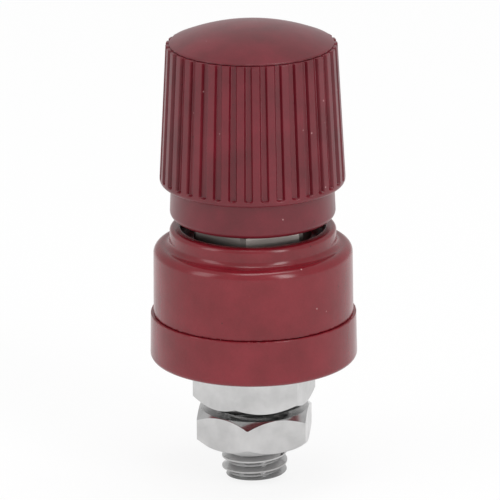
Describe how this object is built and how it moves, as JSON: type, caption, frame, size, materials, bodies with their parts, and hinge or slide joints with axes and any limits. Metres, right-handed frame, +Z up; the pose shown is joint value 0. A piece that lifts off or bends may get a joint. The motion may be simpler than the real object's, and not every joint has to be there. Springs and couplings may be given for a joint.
{
  "type": "binding post",
  "caption": "Panel-mounted screw binding post: fluted clamping knob on a threaded stud, moulded housing and insulating ring, hexagon nuts below.",
  "frame": {"origin": "tip of the stud, on its axis, at the lowest point of the post", "axes": "+Z up along the stud towards the knob"},
  "size_m": [0.019, 0.019, 0.0431],
  "materials": {
    "bakelite": "moulded wine-red phenolic, satin gloss",
    "nickel": "bright nickel plate over brass"
  },
  "bodies": {
    "post": {"stud": "nickel", "housing": "bakelite"},
    "cap": {"top_cap": "bakelite"},
    "knob": {"knob": "bakelite", "bush": "nickel"},
    "ring": {"insulating_ring": "bakelite"},
    "nuts": {"clamp_nut": "nickel", "lug_nut": "nickel"}
  },
  "joints": [
    {"name": "knob_lift", "type": "slide", "parent": "post", "child": "cap", "axis": [0, 0, 1], "range_m": [0, 0.008]},
    {"name": "knob_turn", "type": "hinge", "parent": "cap", "child": "knob", "pos_m": [0, 0, 0.03], "axis": [0, 0, 1], "range_deg": [0, 2880]},
    {"name": "ring_slide", "type": "slide", "parent": "post", "child": "ring", "axis": [0, 0, -1], "range_m": [0, 0.0025]},
    {"name": "nuts_turn", "type": "hinge", "parent": "ring", "child": "nuts", "pos_m": [0, 0, 0.008], "axis": [0, 0, -1], "range_deg": [0, 900]}
  ],
  "couplings": [
    {"joint": "knob_lift", "follows": "knob_turn", "m_per_rad": 0.00015915},
    {"joint": "ring_slide", "follows": "nuts_turn", "m_per_rad": 0.00015915}
  ]
}
